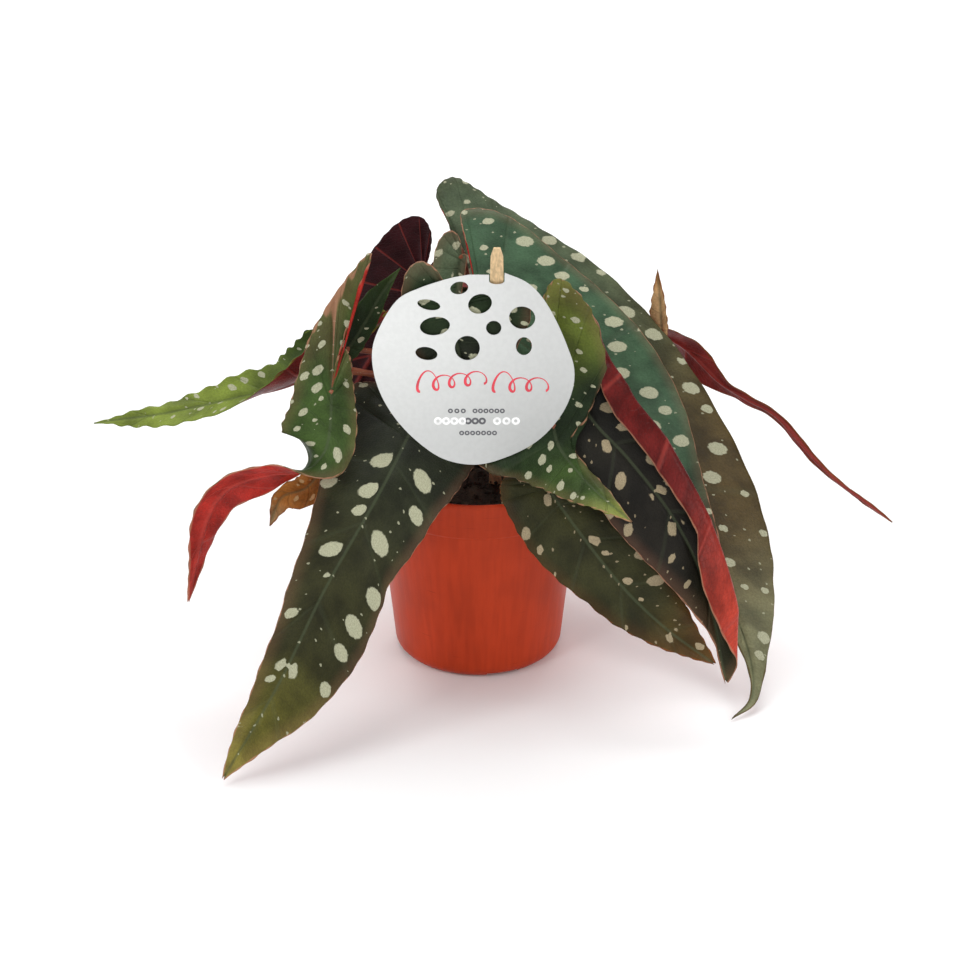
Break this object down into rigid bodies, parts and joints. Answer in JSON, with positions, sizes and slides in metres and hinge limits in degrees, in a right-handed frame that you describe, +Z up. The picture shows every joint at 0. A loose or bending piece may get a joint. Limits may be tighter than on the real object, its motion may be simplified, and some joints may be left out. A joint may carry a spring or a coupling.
{
  "type": "potted begonia",
  "caption": "Spotted angel-wing begonia in a tapered round nursery pot, with long pointed leaf blades on arching stalks, soil, and a round hang card on a flat wooden stick.",
  "frame": {"origin": "middle of the flat underside of the pot, on the surface the pot stands on", "axes": "+Z up, -Y to the front where the hang card faces, +X to the right seen from the front"},
  "size_m": [0.4544, 0.2988, 0.2693],
  "materials": {
    "pot_plastic": "semi-gloss moulded orange-red plastic",
    "potting_soil": "loose dark peat, rough and matt",
    "cane": "green-brown cane with rings at its joints",
    "petiole": "satin reddish green stalk",
    "leaf_dark": "satin dark olive upper side with silver spots, crimson underside",
    "leaf_green": "satin green upper side with silver spots, crimson underside",
    "leaf_young": "satin orange-brown young blade",
    "leaf_red": "satin dark crimson underside shown",
    "card": "satin white coated card with soft print",
    "stick_wood": "bare light wood"
  },
  "bodies": {
    "root": {"pot": "pot_plastic", "soil": "potting_soil", "cane_left": "cane", "cane_right": "cane", "cane_back": "cane", "hang_card": "card", "card_stick": "stick_wood", "leaf_front_left": "leaf_dark", "leaf_left_curled": "leaf_green", "leaf_far_left": "leaf_green", "leaf_small_left": "leaf_young", "leaf_upper_left": "leaf_red", "leaf_narrow_left": "leaf_green", "leaf_behind_card": "leaf_green", "leaf_upper_middle": "leaf_green", "leaf_right_outer": "leaf_dark", "leaf_upper_right": "leaf_green", "leaf_right_rolled": "leaf_dark", "leaf_front_right": "leaf_dark", "leaf_centre_right": "leaf_green", "leaf_far_right": "leaf_red", "leaf_young_right": "leaf_young", "leaf_back": "leaf_dark", "leaf_back_left": "leaf_dark", "leaf_back_right": "leaf_green", "petiole_front_left": "petiole", "petiole_left_curled": "petiole", "petiole_far_left": "petiole", "petiole_small_left": "petiole", "petiole_upper_left": "petiole", "petiole_narrow_left": "petiole", "petiole_behind_card": "petiole", "petiole_upper_middle": "petiole", "petiole_right_outer": "petiole", "petiole_upper_right": "petiole", "petiole_right_rolled": "petiole", "petiole_front_right": "petiole", "petiole_centre_right": "petiole", "petiole_far_right": "petiole", "petiole_young_right": "petiole", "petiole_back": "petiole", "petiole_back_left": "petiole", "petiole_back_right": "petiole"}
  },
  "joints": []
}
